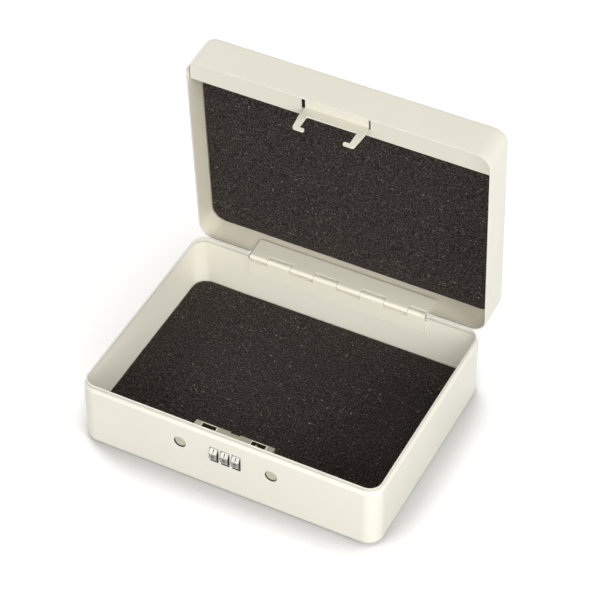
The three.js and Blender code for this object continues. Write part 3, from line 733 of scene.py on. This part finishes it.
def smoothing_group(name, crease=None):
    """Joins the points of a CAD node and shades its curves smooth, up to the crease's angle."""
    group = bpy.data.node_groups.new(name, "GeometryNodeTree")
    group.interface.new_socket("Geometry", in_out="INPUT", socket_type="NodeSocketGeometry")
    group.interface.new_socket("Geometry", in_out="OUTPUT", socket_type="NodeSocketGeometry")
    entry = group.nodes.new("NodeGroupInput")
    merge = group.nodes.new("GeometryNodeMergeByDistance")
    merge.inputs["Distance"].default_value = SAME_POINT
    shade = group.nodes.new("GeometryNodeSetShadeSmooth")
    leave = group.nodes.new("NodeGroupOutput")
    group.links.new(entry.outputs[0], merge.inputs["Geometry"])
    group.links.new(merge.outputs["Geometry"], shade.inputs["Geometry"])
    if crease:
        angle = group.nodes.new("GeometryNodeInputMeshEdgeAngle")
        steep = group.nodes.new("FunctionNodeCompare")
        steep.data_type, steep.operation = "FLOAT", "GREATER_THAN"
        steep.inputs[1].default_value = math.radians(crease)
        sharp = group.nodes.new("GeometryNodeSetShadeSmooth")
        sharp.domain = "EDGE"
        sharp.inputs["Shade Smooth"].default_value = False
        group.links.new(angle.outputs["Unsigned Angle"], steep.inputs[0])
        group.links.new(steep.outputs["Result"], sharp.inputs["Selection"])
        group.links.new(shade.outputs[0], sharp.inputs["Geometry"])
        shade = sharp
    group.links.new(shade.outputs[0], leave.inputs[0])
    return group


SMOOTH_CURVES = smoothing_group("smooth_curves")
CREASED_CURVES = smoothing_group("creased_curves", 15.5)


def broken_edges(piece, width, group=SMOOTH_CURVES, edge_slot=0):
    """Joins a solid's points and breaks its edges, which may take the finish of another slot."""
    join = piece.modifiers.new("smooth_curves", "NODES")
    join.node_group = group
    soften(piece, width, angle=40, edge_slot=edge_slot)


def dress(names, material, width=0.12, group=SMOOTH_CURVES, edge=None):
    """Gives CAD nodes their finish, smooth curves and broken edges, in another finish if wanted."""
    for name in names:
        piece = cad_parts[name]
        piece.data.materials.clear()
        piece.data.materials.append(material)
        if edge:
            piece.data.materials.append(edge)
        broken_edges(piece, width, group, edge_slot=1 if edge else 0)


base_shell()
lid_shell()
foam_pad("base_pad", "base_foam_pad", "base", SHEET + PLAY, BASE_FOAM, face_up=True)
lid_foam_low = LID_TOP - SHEET - PLAY - LID_FOAM
foam_pad("lid_pad", "lid_foam_pad", "lid", lid_foam_low, LID_FOAM, face_up=False)
for n, dial_x in enumerate(DIAL_MIDDLES, 1):
    dial_wheel(n, dial_x)
    dial_figures(n, dial_x)
push_button("left", -1)
push_button("right", 1)
latch_spring("left")
latch_spring("right")
lock_case()
front_rail()

# The hinge leaves take the paint with painted bounce light.
dress(["base_hinge_leaf"], LEAF_IVORY_PAINTED_BOUNCE)
dress(["lid_hinge_leaf"], LEAF_IVORY_PAINTED_BOUNCE, group=CREASED_CURVES)
# The bracket's broken edges take the painted highlight.
dress(["latch_hook_bracket"], IVORY_FITTINGS, width=0.42, edge=IVORY_PAINTED_HIGHLIGHT)
# Painted light: the latch sliders, which sit in the case's shade, take the light zinc.
dress(["latch_slider_left", "latch_slider_right"], ZINC_PAINTED_HIGHLIGHT)
dress(["dial_detent_spring"], SPRING_STEEL, width=0.05)
dress(["hinge_pin", "dial_bracket", "dial_shaft", "code_blocking_plate"], ZINC)
dress(["code_sleeve_1", "code_sleeve_2", "code_sleeve_3"], ZINC)
dress(["bracket_rivet_1", "bracket_rivet_2"], ZINC)


def seen_share(tree):
    """1 for rays that show a surface, from the camera, a gloss or glass, and 0 for its light."""
    rays = add_node(tree, "LightPath").outputs
    shown = combined(tree, "MAXIMUM", rays["Is Camera Ray"], rays["Is Glossy Ray"])
    return combined(tree, "MAXIMUM", shown, rays["Is Transmission Ray"])


def white_floor():
    """Matt paper sweep: it takes the object's shadow, has a painted shadow round the object, and
    shows white where no shadow falls.
    """
    material, tree, place = new_material("paper_sweep")
    seen = seen_share(tree)
    fibre = noise_field(tree, place, 400, 1.0)
    tint = mixed(tree, seen, "959595", mixed(tree, fibre, "CFCFCF", "CACACA"))
    paper = add_node(tree, "BsdfDiffuse", {"Color": tint})
    away = add_node(tree, "VectorMath", {0: place}, operation="LENGTH").outputs["Value"]
    # Painted shade: the paper's glow is dimmer near the object.
    painted_shade_ramp = ramp(tree, away, 0.13, 0.26, 0.42, 0.52)
    # Far from the lamps the paper's glow grows, so it shows white.
    far = ramp(tree, away, 0.5, 1.8, 0.0, 0.5)
    lit = combined(tree, "ADD", painted_shade_ramp, far)
    # Painted shadow: the glow dims where the object stands on the paper.
    near = add_node(tree, "AmbientOcclusion", {"Distance": 0.05}, samples=16)
    lit = combined(tree, "MULTIPLY", lit, ramp(tree, near.outputs["AO"], 0.57, 0.77))
    lit = combined(tree, "MULTIPLY", seen, lit)
    glow = add_node(tree, "Emission", {"Strength": lit})
    both = add_node(tree, "AddShader", {0: paper.outputs["BSDF"], 1: glow.outputs["Emission"]})
    add_node(tree, "OutputMaterial", {"Surface": both.outputs["Shader"]})
    mesh = bpy.data.meshes.new("floor")
    corners = [(-1, -1), (1, -1), (1, 1), (-1, 1)]
    points = [(FLOOR_REACH * x, FLOOR_REACH * y, 0) for x, y in corners]
    mesh.from_pydata(points, [], [(0, 1, 2, 3)])
    mesh.materials.append(material)
    in_scene("floor", mesh)


def aimed(holder, place, direction):
    """Puts a lamp or the camera at a place and points it."""
    holder.location = place
    holder.rotation_mode = "QUATERNION"
    holder.rotation_quaternion = direction.to_track_quat("-Z", "Y")


def lamp(name, place, target, size, watts, mirrored=False):
    """A softbox. Only a mirrored one shows in gloss, so the half-gloss paint has no glare."""
    data = bpy.data.lights.new(name, "AREA")
    data.shape, data.size, data.energy = "SQUARE", size, watts
    holder = in_scene(name, data)
    holder.visible_glossy = mirrored
    aimed(holder, Vector(place), Vector(target) - Vector(place))


def lamps():
    """Softboxes round the object, with sizes in metres."""
    lamp("right_softbox", (1.428, -0.252, 0.736), (0, 0, 0.06), 0.8, 15.9)
    lamp("front_softbox", (0.496, -1.363, 0.736), (0, 0, 0.06), 0.8, 16.6)
    # This one is what the dials' upper flats mirror.
    lamp("front_left_softbox", (-0.545, -1.37, 0.685), (0, 0, 0.06), 1.0, 5.8, mirrored=True)
    lamp("back_left_softbox", (-1.135, 0.655, 0.978), (0, 0, 0.06), 0.8, 12.2)
    lamp("low_back_softbox", (-0.3, 1.65, 0.3), (0, 0, 0.1), 0.5, 5.0)


def sky():
    """A white room, whose light on the object is faint and a little warm."""
    world = bpy.data.worlds.new("studio")
    world.use_nodes = True
    tree = world.node_tree
    tree.nodes.clear()
    seen = seen_share(tree)
    inputs = {
        "Color": mixed(tree, seen, "FFF7E8", "FFFFFF"),
        "Strength": ramp(tree, seen, start=0.25, end=1.0),
    }
    background = add_node(tree, "Background", inputs)
    add_node(tree, "OutputWorld", {"Surface": background.outputs["Background"]})
    bpy.context.scene.world = world


def camera():
    """The photograph's own viewpoint: 27 degrees round to the right and 44 degrees up."""
    data = bpy.data.cameras.new("camera")
    data.sensor_width = 36.0
    data.lens = 149.32
    data.clip_start, data.clip_end = 0.05, 60.0
    holder = in_scene("camera", data)
    azimuth, elevation = math.radians(CAMERA_AZIMUTH), math.radians(CAMERA_ELEVATION)
    back = Vector(
        (
            math.sin(azimuth) * math.cos(elevation),
            -math.cos(azimuth) * math.cos(elevation),
            math.sin(elevation),
        )
    )
    aimed(holder, CAMERA_TARGET + back * CAMERA_DISTANCE, -back)
    bpy.context.scene.camera = holder


white_floor()
lamps()
sky()
camera()
bpy.context.scene.view_settings.view_transform = "Standard"

bpy.context.view_layer.update()
